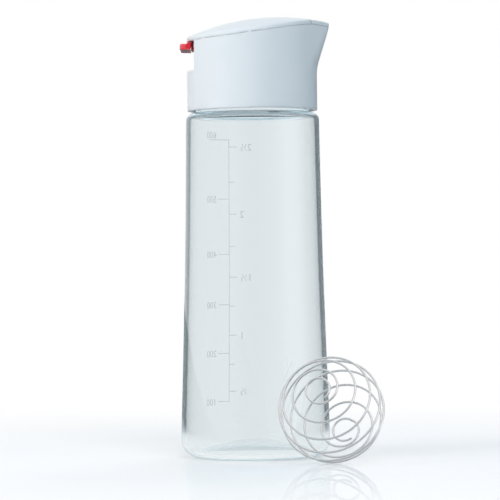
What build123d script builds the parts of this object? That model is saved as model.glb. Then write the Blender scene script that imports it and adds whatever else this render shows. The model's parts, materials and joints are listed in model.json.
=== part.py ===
from build123d import *

import os
from math import acos, asin, cos, degrees, pi, radians, sin, sqrt, tan

# A salad dressing shaker bottle, in millimetres. The origin is the centre of the base on the ground,
# +Z points up and +X points to the spout.

# Bottle
shoulder_step = 5.2
middle_swell = 1.6
base_swell = 4.5
shoulder_height = 178.5
base_corner = 9.5
shoulder_corner = 4.0
bottle_wall = 2.3
foot_width = 3.6
push_up = 5.8
floor_apex = 9.0

# Neck and its thread
neck_height = 13.1
neck_wall = 2.2
rim_round = 0.8
thread_lead = 5.0
thread_depth = 1.2
thread_root_half = 0.9
thread_crest_half = 0.4
thread_sink = 0.4
neck_thread_start = 3.4
neck_thread_turns = 1.4
collar_thread_turns = 0.8
thread_radial_gap = 0.2
thread_axial_gap = 0.1

# Whisk ball, wound from one wire
ball_diameter = 53.5
wire_diameter = 1.15
ball_clearance = 0.45
pole_angle = 13.5
turn_angle = 20.3
pole_loop_turns = 0.75
ball_steps_per_turn = 4
ball_standoff = 0.25
ball_azimuth = -55.1
ball_phase = -55.0
ball_axis = (-0.286, -0.849, 0.446)

# Lid housing
lid_reach = 4.4
lid_gap = 1.0
lid_wall = 1.8
lid_height = 48.3
beak_tip_radius = 5.5
beak_reach = 1.4
flare_height = 18.5
flare_rise = 7.0
beak_lean = 17.5
recess_depth = 4.0
ledge_height = 20.8
ledge_wall = 1.8
ledge_round = 1.0
skirt_round = 0.5
stop_rib_width = 1.0
stop_rib_height = 1.2
seam = 0.15
overrun = 1.0

# Domed crown
crown_peak = 13.5
crown_arc_radius = 115.0
crown_cross_radius = 90.0
crown_wall = 2.2
locating_rim_wall = 1.2
locating_rim_depth = 2.4

# Core inside the lid
deck_thickness = 2.2
seal_thickness = 2.0
seal_gap = 0.3
snug_gap = 0.1
collar_lift = 1.5
plug_depth = 3.3
plug_gap = 0.5
plug_wall = 1.6

# Pour duct
duct_entry = 14.0
duct_entry_radius = 4.8
duct_wall = 1.2
duct_flange = 1.4
duct_flange_thickness = 1.2
mouth_setback = 0.9
mouth_half_length = 2.6
mouth_half_width = 4.0
mouth_drop = 4.6
lip_plate_thickness = 1.5

# Vent valve
vent_offset = 16.0
vent_stem_radius = 1.3
vent_stem_gap = 0.15
vent_disc_radius = 4.2
vent_disc_thickness = 0.8
vent_hole_radius = 0.6
vent_hole_ring = 2.8
vent_hole_count = 6
vent_bead_radius = 2.0
vent_bead_height = 1.6
vent_bead_taper = 15.0

# Thumb lever and its pin
lever_reach = 14.8
lever_pivot_drop = 13.3
lever_leg = 12.0
lever_hub_radius = 3.2
lever_hub_half_width = 9.2
lever_arm_half_width = 6.4
lever_arm_thickness = 4.6
lever_leg_half_width = 5.0
lever_leg_half_thickness = 1.0
lever_tip_radius = 1.3
pad_proud = 3.5
pad_half_width = 13.0
pad_corner = 4.0
pad_depth = 6.2
pad_round = 1.2
lever_pin_radius = 1.2
pin_running_gap = 0.05
pin_fit_gap = 0.02
pad_lip_gap = 0.3
pad_undercut = 1.6
lever_slot_gap = 1.2
lever_slot_drop = 6.4

# Lever posts and fork rails on the deck
post_gap = 0.4
post_width = 2.0
post_half_length = 3.0
rail_setback = 7.0
rail_length = 14.0
rail_lip = 1.6

# Lever spring
spring_setback = 6.2
spring_radius = 2.6
spring_wire = 0.6
spring_turns = 7
spring_seat_height = 2.4
spring_seat_gap = 0.35
spring_steps_per_turn = 4
spring_top_gap = 0.1

# Push fork
prong_thickness = 1.6
prong_height = 3.2
fork_gap = 0.2
notch_gap = 0.12
notch_wall = 1.2
notch_bank = 0.6
prong_run = 8.0
prong_clearance = 0.8

# Spout flap, its pin and pad
flap_reach = 7.4
flap_hinge_drop = 3.1
flap_barrel_radius = 2.6
flap_leg = 4.2
flap_leg_half_thickness = 0.7
flap_tip_radius = 1.0
flap_swing = 45.0
flap_gap = 0.25
flap_side_gap = 0.25
flap_pin_radius = 0.8
ear_width = 2.0
ear_radius = 2.0
ear_front_radius = 2.8
crown_lip = 2.0
pad_seat_gap = 0.3
pad_margin = 0.6

neck_top = shoulder_height + neck_height
mouth_radius = ball_diameter / 2 + ball_clearance
neck_radius = mouth_radius + neck_wall
shoulder_radius = neck_radius + shoulder_step
middle_radius = shoulder_radius + middle_swell
base_radius = shoulder_radius + base_swell
ball_distance = base_radius + ball_diameter / 2 + ball_standoff
lid_radius = neck_radius + lid_reach
rear_flat = lid_radius - recess_depth
pad_reach = lid_radius + pad_proud
lever_pivot = lever_reach - rear_flat
spring_x = spring_setback - rear_flat
rail_start = lever_pivot + rail_setback
rail_end = rail_start + rail_length
prong_bend = rail_end + prong_run
beak_tip_centre = lid_radius + beak_reach
mouth_centre = beak_tip_centre - mouth_setback
flap_hinge = beak_tip_centre - flap_reach
skirt_bottom = shoulder_height + lid_gap
lid_top = skirt_bottom + lid_height
ledge_z = skirt_bottom + ledge_height
flare_z = skirt_bottom + flare_height
crown_axis_z = lid_top - crown_cross_radius
deck_bottom = neck_top + seal_gap + seal_thickness + snug_gap
deck_top = deck_bottom + deck_thickness
core_radius = lid_radius - lid_wall - snug_gap
collar_bore = neck_radius + thread_depth + thread_radial_gap
collar_bottom = skirt_bottom + collar_lift
lever_pivot_z = lid_top - lever_pivot_drop

# The fork's stroke follows from the flap's swing, and the lever's swing follows from the stroke.
# Both cranks start half a swing behind the vertical, so their ends stay close to a straight line.
fork_stroke = 2 * flap_leg * sin(radians(flap_swing / 2))
lever_swing = 2 * degrees(asin(fork_stroke / (2 * lever_leg)))


def crown_height(x, inset=0):
    """The height above the ground of the dome's middle line at a place, pushed in by an inset."""
    return lid_top - crown_arc_radius + sqrt((crown_arc_radius - inset) ** 2 - (x - crown_peak) ** 2)


neck_thread_z = shoulder_height + neck_thread_start
mouth_z = crown_height(mouth_centre) - mouth_drop
flap_hinge_z = crown_height(flap_hinge) - flap_hinge_drop
flap_tip_rest = (flap_hinge - fork_stroke / 2, flap_hinge_z - flap_leg * cos(radians(flap_swing / 2)))
lever_tip_rest = (lever_pivot - fork_stroke / 2, lever_pivot_z - lever_leg * cos(radians(lever_swing / 2)))
prong_outer = lever_hub_half_width
prong_inner = prong_outer - prong_thickness
lever_dip = lever_leg * (1 - cos(radians(lever_swing / 2)))
flap_dip = flap_leg * (1 - cos(radians(flap_swing / 2)))
fork_bottom = lever_tip_rest[1] - lever_tip_radius - lever_dip - notch_gap - notch_wall
flap_notch_half = flap_tip_radius + notch_gap + notch_wall
flap_opening_radius = flap_hinge_drop + flap_gap
pad_bottom = crown_height(-rear_flat, crown_wall) - pad_depth
spring_top = pad_bottom - spring_top_gap
ball_turns = (180 - 2 * pole_angle) / turn_angle + 2 * pole_loop_turns
ball_centre = Vector(ball_distance, 0, ball_diameter / 2).rotate(Axis.Z, ball_azimuth)


def plan_outline(inset):
    """Draws the lid's teardrop outline: the round skirt and the beak's tip joined by tangent lines."""
    big = lid_radius - inset
    small = beak_tip_radius - inset
    angle = acos((big - small) / beak_tip_centre)
    big_side = (big * cos(angle), big * sin(angle))
    small_side = (beak_tip_centre + small * cos(angle), small * sin(angle))
    with BuildSketch() as plan:
        with BuildLine():
            ThreePointArc((big_side[0], -big_side[1]), (-big, 0), big_side)
            Line(big_side, small_side)
            ThreePointArc(small_side, (beak_tip_centre + small, 0), (small_side[0], -small_side[1]))
            Line((small_side[0], -small_side[1]), (big_side[0], -big_side[1]))
        make_face()
    return plan.sketch


def flared_cup(inset, low, high):
    """Makes the turned form that lets the beak grow out of the round skirt as it rises."""
    radius = lid_radius - inset
    lean = radians(beak_lean)
    flare_end = (radius + flare_rise * tan(lean / 2), flare_z + flare_rise)
    top_radius = flare_end[0] + (high - flare_end[1]) * tan(lean)
    with BuildPart() as cup:
        with BuildSketch(Plane.XZ):
            with BuildLine():
                Polyline((0, high), (0, low), (radius, low), (radius, flare_z))
                TangentArc((radius, flare_z), flare_end, tangent=(0, 1))
                Polyline(flare_end, (top_radius, high), (0, high))
            make_face()
        revolve(axis=Axis.Z)
    return cup.part


def dome(inset):
    """Makes the barrel whose upper side is the crown's surface, pushed in by an inset."""
    span = lid_radius + beak_tip_centre
    start = crown_peak - span
    end = crown_peak + span
    side = crown_height(end, inset)
    with BuildPart() as barrel:
        with BuildSketch(Plane.XZ):
            with BuildLine():
                ThreePointArc((start, side), (crown_peak, lid_top - inset), (end, side))
                Polyline((end, side), (end, crown_axis_z), (start, crown_axis_z), (start, side))
            make_face()
        revolve(axis=Axis((0, 0, crown_axis_z), (1, 0, 0)))
    return barrel.part


def lid_form(side_inset, top_inset, low):
    """Makes the lid's solid outer form, pushed in at its sides and its top."""
    high = lid_top + overrun
    with BuildPart() as form:
        with BuildSketch(Plane.XY.offset(low)):
            add(plan_outline(side_inset))
        extrude(amount=high - low)
        add(flared_cup(side_inset, low - overrun, high + overrun), mode=Mode.INTERSECT)
        add(dome(top_inset), mode=Mode.INTERSECT)
    return form.part


def slab(x_range, y_range, z_range):
    """Makes a plain block from its limits, used to cut and to bound other pieces."""
    with BuildPart() as block:
        with Locations(Vector(sum(x_range) / 2, sum(y_range) / 2, sum(z_range) / 2)):
            Box(x_range[1] - x_range[0], y_range[1] - y_range[0], z_range[1] - z_range[0])
    return block.part


def cross_rod(centre, radius, y_range):
    """Makes a round bar that lies across the lid at a place in its middle plane."""
    with BuildPart() as rod:
        with BuildSketch(Plane(origin=(centre[0], y_range[1], centre[1]), z_dir=(0, -1, 0))):
            Circle(radius)
        extrude(amount=y_range[1] - y_range[0])
    return rod.part


def side_plate(corners, y_range):
    """Makes a flat plate from an outline in the lid's middle plane, standing between two sides."""
    with BuildPart() as plate:
        with BuildSketch(Plane.XZ.offset(-y_range[1])):
            with BuildLine():
                Polyline(*corners, close=True)
            make_face()
        extrude(amount=y_range[1] - y_range[0])
    return plate.part


def crank_leg(pivot, tip, half_thickness, tip_radius, y_range):
    """Makes a leg from a pivot to a round tip, the part of a crank that pushes the fork."""
    along = (Vector(*tip) - Vector(*pivot)).normalized()
    across = Vector(-along.Y, along.X) * half_thickness
    start = Vector(*pivot)
    end = Vector(*tip)
    corners = [start + across, end + across, end - across, start - across]
    with BuildPart() as leg:
        add(side_plate([(corner.X, corner.Y) for corner in corners], y_range))
        add(cross_rod(tip, tip_radius, y_range))
    return leg.part


def both_sides(inner, outer):
    """The two ranges across the lid that mirror each other about its middle plane."""
    return [(inner, outer), (-outer, -inner)]


def arc_joint(start, leaving, end, arriving):
    """Finds where the two arcs of a biarc meet, and their direction there."""
    chord = end - start
    turn = leaving + arriving
    spread = 2 * (1 - leaving.dot(arriving))
    reach = (sqrt(chord.dot(turn) ** 2 + spread * chord.dot(chord)) - chord.dot(turn)) / spread
    first = start + leaving * reach
    second = end - arriving * reach
    return (first + second) / 2, (second - first).normalized()


def wire_along(place, count, radius):
    """Sweeps a round wire along a curve given by a function of a step, two arcs to each step."""
    nudge = 1e-4
    points = [place(step) for step in range(count + 1)]
    tangents = [(place(step + nudge) - place(step - nudge)).normalized() for step in range(count + 1)]
    with BuildPart() as wire:
        with BuildLine() as route:
            for step in range(count):
                middle, along = arc_joint(points[step], tangents[step], points[step + 1], tangents[step + 1])
                TangentArc(points[step], middle, tangent=tangents[step])
                TangentArc(middle, points[step + 1], tangent=along)
        with BuildSketch(Plane(origin=points[0], z_dir=tangents[0])):
            Circle(radius)
        sweep(path=route.line)
    return wire.part


def least_gap(place, count, steps_per_turn, thickness):
    """Measures how near a wound wire comes to itself, on points along its middle line."""
    samples_per_step = 6
    points = [place(index / samples_per_step) for index in range(count * samples_per_step + 1)]
    apart = samples_per_step * steps_per_turn // 2
    pairs = ((a, b) for a in range(len(points)) for b in range(a + apart, len(points)))
    return min((points[a] - points[b]).length for a, b in pairs) - thickness


def finish(piece, name):
    """Labels a finished piece and writes it to its own file."""
    piece.label = name
    export_step(piece, f"parts/{name}.step")


def make_thread(radius, outward, start_z, turns, start_turn):
    """Sweeps one ridge of the thread, standing out of the neck or into the collar."""
    side = 1 if outward else -1
    with BuildPart() as ridge:
        with BuildLine() as route:
            Helix(thread_lead, thread_lead * turns, radius, center=(0, 0, start_z))
        with BuildSketch(Plane(origin=route.line @ 0, x_dir=(side, 0, 0), z_dir=route.line % 0)):
            with BuildLine():
                Polyline(
                    (-thread_sink, -thread_root_half),
                    (thread_depth, -thread_crest_half),
                    (thread_depth, thread_crest_half),
                    (-thread_sink, thread_root_half),
                    close=True,
                )
            make_face()
        sweep(path=route.line, is_frenet=True)
    return ridge.part.rotate(Axis.Z, 360 * start_turn)


def make_bottle():
    """A blown form turned about its axis: arched base, flared wall, round shoulder and threaded neck."""
    wall_mid = shoulder_height / 2
    foot_outer = base_radius - base_corner
    inner_base = base_radius - bottle_wall
    inner_middle = middle_radius - bottle_wall
    inner_shoulder = shoulder_radius - bottle_wall
    inner_top = shoulder_height - bottle_wall
    floor_edge = foot_outer - foot_width / 2
    rounds = [
        ((base_radius, 0), base_corner),
        ((inner_base, bottle_wall), base_corner - bottle_wall),
        ((shoulder_radius, shoulder_height), shoulder_corner),
        ((inner_shoulder, inner_top), shoulder_corner - bottle_wall),
        ((neck_radius, shoulder_height), rim_round),
        ((neck_radius, neck_top), rim_round),
        ((mouth_radius, neck_top), rim_round),
    ]
    with BuildPart() as bottle:
        with BuildSketch(Plane.XZ) as profile:
            with BuildLine():
                Line((0, floor_apex), (0, push_up))
                TangentArc((0, push_up), (foot_outer - foot_width, 0), tangent=(1, 0))
                Line((foot_outer - foot_width, 0), (base_radius, 0))
                ThreePointArc(
                    (base_radius, 0), (middle_radius, wall_mid), (shoulder_radius, shoulder_height)
                )
                Polyline(
                    (shoulder_radius, shoulder_height),
                    (neck_radius, shoulder_height),
                    (neck_radius, neck_top),
                    (mouth_radius, neck_top),
                    (mouth_radius, inner_top),
                    (inner_shoulder, inner_top),
                )
                ThreePointArc(
                    (inner_shoulder, inner_top), (inner_middle, wall_mid), (inner_base, bottle_wall)
                )
                Line((inner_base, bottle_wall), (floor_edge, bottle_wall))
                TangentArc((0, floor_apex), (floor_edge, bottle_wall), tangent=(1, 0))
            make_face()
            for corner, radius in rounds:
                fillet(profile.vertices().sort_by_distance(corner)[0], radius)
        revolve(axis=Axis.Z)
        add(make_thread(neck_radius, True, neck_thread_z, neck_thread_turns, 0))
    finish(bottle.part, "bottle")


def housing_cavity():
    """The hollow of the housing, flattened at the rear behind the recess."""
    recess_bottom = ledge_z - ledge_wall
    inner_flat = rear_flat - lid_wall
    far = lid_radius + overrun
    with BuildPart() as cavity:
        add(lid_form(lid_wall, -overrun / 2, skirt_bottom - overrun))
        add(slab((-far, -inner_flat), (-far, far), (recess_bottom, lid_top + far)), mode=Mode.SUBTRACT)
    return cavity.part


def make_lid_housing():
    """Outer shell of the lid: skirt, flared beak, rear recess with a ledge and a slot for the lever."""
    slot_half = lever_arm_half_width + lever_slot_gap
    slot_bottom = pad_bottom - lever_slot_drop
    far = lid_radius + overrun
    with BuildPart() as housing:
        add(lid_form(0, crown_wall + seam, skirt_bottom))
        add(slab((-far, -rear_flat), (-far, far), (ledge_z, lid_top)), mode=Mode.SUBTRACT)
        add(housing_cavity(), mode=Mode.SUBTRACT)
        with BuildSketch(Plane.XY.offset(deck_top)):
            Circle(lid_radius - lid_wall / 2)
            Circle(lid_radius - lid_wall - stop_rib_width, mode=Mode.SUBTRACT)
        extrude(amount=stop_rib_height)
        add(slab((-far, -rear_flat / 2), (-slot_half, slot_half), (slot_bottom, lid_top)), mode=Mode.SUBTRACT)
        fillet(housing.edges().sort_by_distance((-lid_radius, 0, ledge_z))[0], ledge_round)
        fillet(housing.edges().sort_by_distance((-lid_radius, 0, skirt_bottom))[0], skirt_round)
    finish(housing.part, "lid_housing")


def crown_rim():
    """The low rim under the crown that finds its place inside the housing, at both sides only."""
    inset = lid_wall + seam
    front = flap_hinge - flap_opening_radius - locating_rim_wall
    rear = rear_flat - lid_wall - seam
    far = lid_radius + overrun
    with BuildPart() as rim:
        add(lid_form(inset, crown_wall / 2, skirt_bottom))
        add(lid_form(inset + locating_rim_wall, 0, skirt_bottom - overrun), mode=Mode.SUBTRACT)
        add(dome(crown_wall + locating_rim_depth), mode=Mode.SUBTRACT)
        add(slab((-rear, front), (-far, far), (skirt_bottom, lid_top + far)), mode=Mode.INTERSECT)
    return rim.part


def crown_front():
    """What the crown leaves open in front: the flap's room, bounded by arcs about its hinge."""
    hinge = (flap_hinge, flap_hinge_z)
    far = lid_radius + beak_tip_centre
    barrel_half = prong_outer + flap_side_gap
    with BuildPart() as room:
        add(slab((flap_hinge, far), (-far, far), (flap_hinge_z - far, lid_top + far)))
        add(cross_rod(hinge, ear_front_radius, (-far, far)), mode=Mode.SUBTRACT)
        add(cross_rod(hinge, flap_opening_radius, (-barrel_half, barrel_half)))
        add(slab((flap_hinge - crown_lip, far), (-barrel_half, barrel_half), (flap_hinge_z, lid_top + far)))
    return room.part


def make_lid_crown():
    """Domed cover with a locating rim, open at the front for the flap and with ears for its pin."""
    hinge = (flap_hinge, flap_hinge_z)
    barrel_half = prong_outer + flap_side_gap
    bore_half = barrel_half + ear_width + overrun
    with BuildPart() as crown:
        add(lid_form(0, 0, skirt_bottom))
        add(dome(crown_wall), mode=Mode.SUBTRACT)
        add(crown_rim())
        add(crown_front(), mode=Mode.SUBTRACT)
        for side in both_sides(barrel_half, barrel_half + ear_width):
            add(cross_rod(hinge, ear_radius, side) & lid_form(0, 0, skirt_bottom))
        add(cross_rod(hinge, flap_pin_radius + pin_fit_gap, (-bore_half, bore_half)), mode=Mode.SUBTRACT)
    finish(crown.part, "lid_crown")


def make_lid_core():
    """Threaded collar and deck that close the neck, with posts, rails and a seat for the mechanism."""
    pivot = (lever_pivot, lever_pivot_z)
    post_inner = prong_outer + post_gap
    post_outer = post_inner + post_width
    post_corners = [
        (lever_pivot - post_half_length, deck_top),
        (lever_pivot + post_half_length, deck_top),
        (lever_pivot + post_half_length, lever_pivot_z),
        (lever_pivot - post_half_length, lever_pivot_z),
    ]
    rail_top = fork_bottom - fork_gap
    lip_inner = prong_outer + fork_gap
    lip_top = fork_bottom + prong_height / 2
    plug_radius = mouth_radius - plug_gap
    plug_bottom = deck_bottom - plug_depth
    thread_drop = thread_root_half + thread_crest_half + thread_axial_gap
    thread_z = collar_bottom + thread_root_half + thread_crest_half
    thread_start = (thread_z + thread_drop - neck_thread_z) / thread_lead
    with BuildPart() as core:
        with BuildSketch(Plane.XY.offset(deck_bottom)):
            Circle(core_radius)
        extrude(amount=deck_thickness)
        with BuildSketch(Plane.XY.offset(collar_bottom)):
            Circle(core_radius)
            Circle(collar_bore, mode=Mode.SUBTRACT)
        extrude(amount=deck_bottom - collar_bottom)
        with BuildSketch(Plane.XY.offset(plug_bottom)):
            Circle(plug_radius)
            Circle(plug_radius - plug_wall, mode=Mode.SUBTRACT)
        extrude(amount=plug_depth)
        add(make_thread(collar_bore, False, thread_z, collar_thread_turns, thread_start))
        for side in both_sides(post_inner, post_outer):
            add(side_plate(post_corners, side))
            add(cross_rod(pivot, post_half_length, side))
        for side in both_sides(prong_inner, lip_inner + rail_lip):
            add(slab((rail_start, rail_end), side, (deck_top, rail_top)))
        for side in both_sides(lip_inner, lip_inner + rail_lip):
            add(slab((rail_start, rail_end), side, (deck_top, lip_top)))
        with BuildSketch(Plane.XY.offset(deck_top)):
            with Locations((spring_x, 0)):
                Circle(spring_radius - spring_wire / 2 - spring_seat_gap)
        extrude(amount=spring_seat_height)
        with BuildSketch(Plane.XY.offset(deck_bottom)):
            with Locations((duct_entry, 0)):
                Circle(duct_entry_radius + duct_wall + snug_gap)
            with Locations((0, vent_offset)):
                Circle(vent_stem_radius + vent_stem_gap)
                with PolarLocations(vent_hole_ring, vent_hole_count):
                    Circle(vent_hole_radius)
        extrude(amount=deck_thickness, mode=Mode.SUBTRACT)
        add(cross_rod(pivot, lever_pin_radius + pin_fit_gap, (-core_radius, core_radius)), mode=Mode.SUBTRACT)
    finish(core.part, "lid_core")


def make_lid_seal_ring():
    """Soft flat ring that lies between the neck's rim and the deck."""
    with BuildPart() as ring:
        with BuildSketch(Plane.XY.offset(neck_top + seal_gap)):
            Circle(collar_bore - seal_gap)
            Circle(mouth_radius - plug_gap + seal_gap, mode=Mode.SUBTRACT)
        extrude(amount=seal_thickness)
    finish(ring.part, "lid_seal_ring")


def duct_bore(wall):
    """The duct's slanted channel from the deck to the mouth, made wider all round by a wall."""
    with BuildPart() as bore:
        with BuildSketch(Plane.XY.offset(deck_top)):
            with Locations((duct_entry, 0)):
                Ellipse(duct_entry_radius + wall, duct_entry_radius + wall)
        with BuildSketch(Plane.XY.offset(mouth_z)):
            with Locations((mouth_centre, 0)):
                Ellipse(mouth_half_length + wall, mouth_half_width + wall)
        loft()
        with BuildSketch(Plane.XY.offset(deck_bottom)):
            with Locations((duct_entry, 0)):
                Circle(duct_entry_radius + wall)
        extrude(amount=deck_thickness)
    return bore.part


def make_pour_duct():
    """Channel from the deck to the mouth, with a flange on the deck and a lip plate in the beak."""
    far = lid_radius + beak_tip_centre
    plate_start = flap_tip_rest[0] + fork_stroke + flap_notch_half + prong_clearance
    with BuildPart() as duct:
        add(duct_bore(duct_wall))
        add(slab((plate_start, far), (-far, far), (mouth_z - lip_plate_thickness, mouth_z)))
        add(lid_form(lid_wall + seam, 0, skirt_bottom), mode=Mode.INTERSECT)
        with BuildSketch(Plane.XY.offset(deck_top)):
            with Locations((duct_entry, 0)):
                Circle(duct_entry_radius + duct_wall + duct_flange)
        extrude(amount=duct_flange_thickness)
        add(duct_bore(0), mode=Mode.SUBTRACT)
    finish(duct.part, "pour_duct")


def make_vent_valve():
    """Soft mushroom valve whose disc shuts the deck's air holes from below."""
    with BuildPart() as valve:
        with BuildSketch(Plane.XY.offset(deck_bottom - vent_disc_thickness)):
            with Locations((0, vent_offset)):
                Circle(vent_disc_radius)
        extrude(amount=vent_disc_thickness)
        with BuildSketch(Plane.XY.offset(deck_bottom)):
            with Locations((0, vent_offset)):
                Circle(vent_stem_radius)
        extrude(amount=deck_thickness)
        with BuildSketch(Plane.XY.offset(deck_top)):
            with Locations((0, vent_offset)):
                Circle(vent_bead_radius)
        extrude(amount=vent_bead_height, taper=vent_bead_taper)
    finish(valve.part, "vent_valve")


def pad_top_limit():
    """What the pad's top may fill: under the dome's lip in front, and level behind the lip."""
    far = lid_radius + beak_tip_centre
    lip_x = -lid_radius - pad_lip_gap / 2
    lip_z = crown_height(lip_x, crown_wall + pad_lip_gap)
    with BuildPart() as limit:
        add(dome(crown_wall + pad_lip_gap))
        add(slab((-far, lip_x), (-far, far), (crown_axis_z - far, lid_top + far)), mode=Mode.SUBTRACT)
        with BuildSketch(Plane.XZ):
            with BuildLine():
                Polyline((-far, crown_axis_z), (lip_x, crown_axis_z), (lip_x, lip_z), (-far, lip_z), close=True)
            make_face()
        revolve(axis=Axis((0, 0, crown_axis_z), (1, 0, 0)))
    return limit.part


def thumb_pad():
    """The wide pad outside the housing, with its top sloping under the crown's rear lip."""
    front_top = -rear_flat - pad_lip_gap
    front_bottom = front_top - pad_undercut
    corners = [
        (front_bottom, pad_bottom),
        (front_top, lid_top),
        (-pad_reach, lid_top),
        (-pad_reach, pad_bottom),
    ]
    with BuildPart() as pad:
        add(side_plate(corners, (-pad_half_width, pad_half_width)))
        with BuildSketch(Plane.XY.offset(pad_bottom)):
            with Locations((-pad_reach / 2, 0)):
                RectangleRounded(pad_reach, 2 * pad_half_width, pad_corner)
        extrude(amount=lid_top - pad_bottom, mode=Mode.INTERSECT)
        add(pad_top_limit(), mode=Mode.INTERSECT)
        rear = pad.edges().filter_by_position(Axis.X, -pad_reach - overrun, -lid_radius)
        fillet(rear.filter_by_position(Axis.Z, pad_bottom + pad_corner / 2, lid_top), pad_round)
        rear = pad.edges().filter_by_position(Axis.X, -pad_reach - overrun, -lid_radius)
        fillet(rear.filter_by_position(Axis.Z, pad_bottom - overrun, pad_bottom + overrun / 2), pad_round / 2)
    return pad.part


def make_thumb_lever():
    """Red bell crank: pad and arm to the rear, hub on the pin and a leg down to the fork."""
    pivot = (lever_pivot, lever_pivot_z)
    arm_end = -rear_flat - pad_undercut
    arm_corners = [
        (lever_pivot, lever_pivot_z - lever_hub_radius),
        (arm_end, pad_bottom),
        (arm_end, pad_bottom + lever_arm_thickness),
        (lever_pivot, lever_pivot_z + lever_hub_radius),
    ]
    arm_side = (-lever_arm_half_width, lever_arm_half_width)
    hub_side = (-lever_hub_half_width, lever_hub_half_width)
    leg_side = (-lever_leg_half_width, lever_leg_half_width)
    bore_side = (-core_radius, core_radius)
    with BuildPart() as lever:
        add(thumb_pad())
        add(side_plate(arm_corners, arm_side))
        add(cross_rod(pivot, lever_hub_radius, hub_side))
        add(crank_leg(pivot, lever_tip_rest, lever_leg_half_thickness, lever_tip_radius, leg_side))
        add(cross_rod(pivot, lever_pin_radius + pin_running_gap, bore_side), mode=Mode.SUBTRACT)
    finish(lever.part, "thumb_lever")


def make_pins():
    """The two steel pins, each as long as its posts or ears are apart outside."""
    lever_half = prong_outer + post_gap + post_width
    flap_half = prong_outer + flap_side_gap + ear_width
    lever_pin = cross_rod((lever_pivot, lever_pivot_z), lever_pin_radius, (-lever_half, lever_half))
    finish(lever_pin, "lever_pin")
    flap_pin = cross_rod((flap_hinge, flap_hinge_z), flap_pin_radius, (-flap_half, flap_half))
    finish(flap_pin, "flap_pin")


def spring_place(step):
    """A place on the lever spring's middle line, at so many quarter turns from its foot."""
    turn = step / spring_steps_per_turn
    low = deck_top + spring_wire / 2
    rise = (spring_top - spring_wire / 2 - low) / spring_turns
    angle = 2 * pi * turn
    return Vector(spring_x + spring_radius * cos(angle), spring_radius * sin(angle), low + rise * turn)


def make_lever_spring():
    """Steel spring wound as one wire, standing on the deck under the lever's arm."""
    count = spring_turns * spring_steps_per_turn
    finish(wire_along(spring_place, count, spring_wire / 2), "lever_spring")
    gap = least_gap(spring_place, count, spring_steps_per_turn, spring_wire)
    print(f"lever_spring: least gap between turns {gap:.2f} mm")


def make_push_fork():
    """Sliding fork: a channel for the lever's leg behind, two prongs with notches for the flap in front."""
    rear_x, rear_z = lever_tip_rest
    front_x, front_z = flap_tip_rest
    rear_half = lever_tip_radius + notch_gap
    front_half = flap_tip_radius + notch_gap
    front_floor = front_z - flap_tip_radius - flap_dip - notch_gap
    front_bottom = front_floor - notch_wall
    front_top = front_z + notch_bank
    slope = (front_bottom - fork_bottom) / (front_x + flap_notch_half - prong_bend)
    lift = prong_height * sqrt(1 + slope**2)
    upper_bend = prong_bend + (prong_height - lift) / slope
    upper_end = fork_bottom + slope * (front_x - flap_notch_half - prong_bend) + lift
    prong = [
        (rear_x - rear_half - notch_wall, fork_bottom),
        (prong_bend, fork_bottom),
        (front_x + flap_notch_half, front_bottom),
        (front_x + flap_notch_half, front_top),
        (front_x - flap_notch_half, front_top),
        (front_x - flap_notch_half, upper_end),
        (upper_bend, fork_bottom + prong_height),
        (rear_x - rear_half - notch_wall, fork_bottom + prong_height),
    ]
    channel_x = (rear_x - rear_half - notch_wall, rear_x + rear_half + notch_wall)
    channel_half = lever_leg_half_width + post_gap
    everywhere = (-prong_outer, prong_outer)
    with BuildPart() as fork:
        for side in both_sides(prong_inner, prong_outer):
            add(side_plate(prong, side))
        add(slab(channel_x, everywhere, (fork_bottom, rear_z + notch_bank)))
        add(
            slab(
                (rear_x - rear_half, rear_x + rear_half),
                (-channel_half, channel_half),
                (fork_bottom + notch_wall, lid_top),
            ),
            mode=Mode.SUBTRACT,
        )
        add(
            slab((front_x - front_half, front_x + front_half), everywhere, (front_floor, lid_top)),
            mode=Mode.SUBTRACT,
        )
    finish(fork.part, "push_fork")


def make_spout_flap():
    """Hinged tip of the crown: plate, knuckle on the pin and two legs that the fork pushes."""
    hinge = (flap_hinge, flap_hinge_z)
    far = lid_radius + beak_tip_centre
    middle = (-prong_outer, prong_outer)
    with BuildPart() as tip:
        add(lid_form(0, 0, skirt_bottom))
        add(dome(crown_wall), mode=Mode.SUBTRACT)
        add(slab((flap_hinge, far), (-far, far), (skirt_bottom, lid_top + far)), mode=Mode.INTERSECT)
    with BuildPart() as flap:
        add(tip.part)
        add(cross_rod(hinge, ear_front_radius + flap_gap, (-far, far)), mode=Mode.SUBTRACT)
        add(tip.part & slab((flap_hinge, far), middle, (skirt_bottom, lid_top + far)))
        add(cross_rod(hinge, flap_barrel_radius, middle))
        for side in both_sides(prong_inner, prong_outer):
            add(crank_leg(hinge, flap_tip_rest, flap_leg_half_thickness, flap_tip_radius, side))
        add(cross_rod(hinge, flap_pin_radius + pin_running_gap, (-far, far)), mode=Mode.SUBTRACT)
    finish(flap.part, "spout_flap")


def make_flap_pad():
    """Soft pad under the flap that shuts the mouth."""
    low = mouth_z + pad_seat_gap
    with BuildPart() as pad:
        with BuildSketch(Plane.XY.offset(low)):
            with Locations((mouth_centre, 0)):
                Ellipse(mouth_half_length + pad_margin, mouth_half_width + pad_margin)
        extrude(amount=lid_top - low)
        add(dome(crown_wall + pin_running_gap), mode=Mode.INTERSECT)
    finish(pad.part, "flap_pad")


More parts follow.
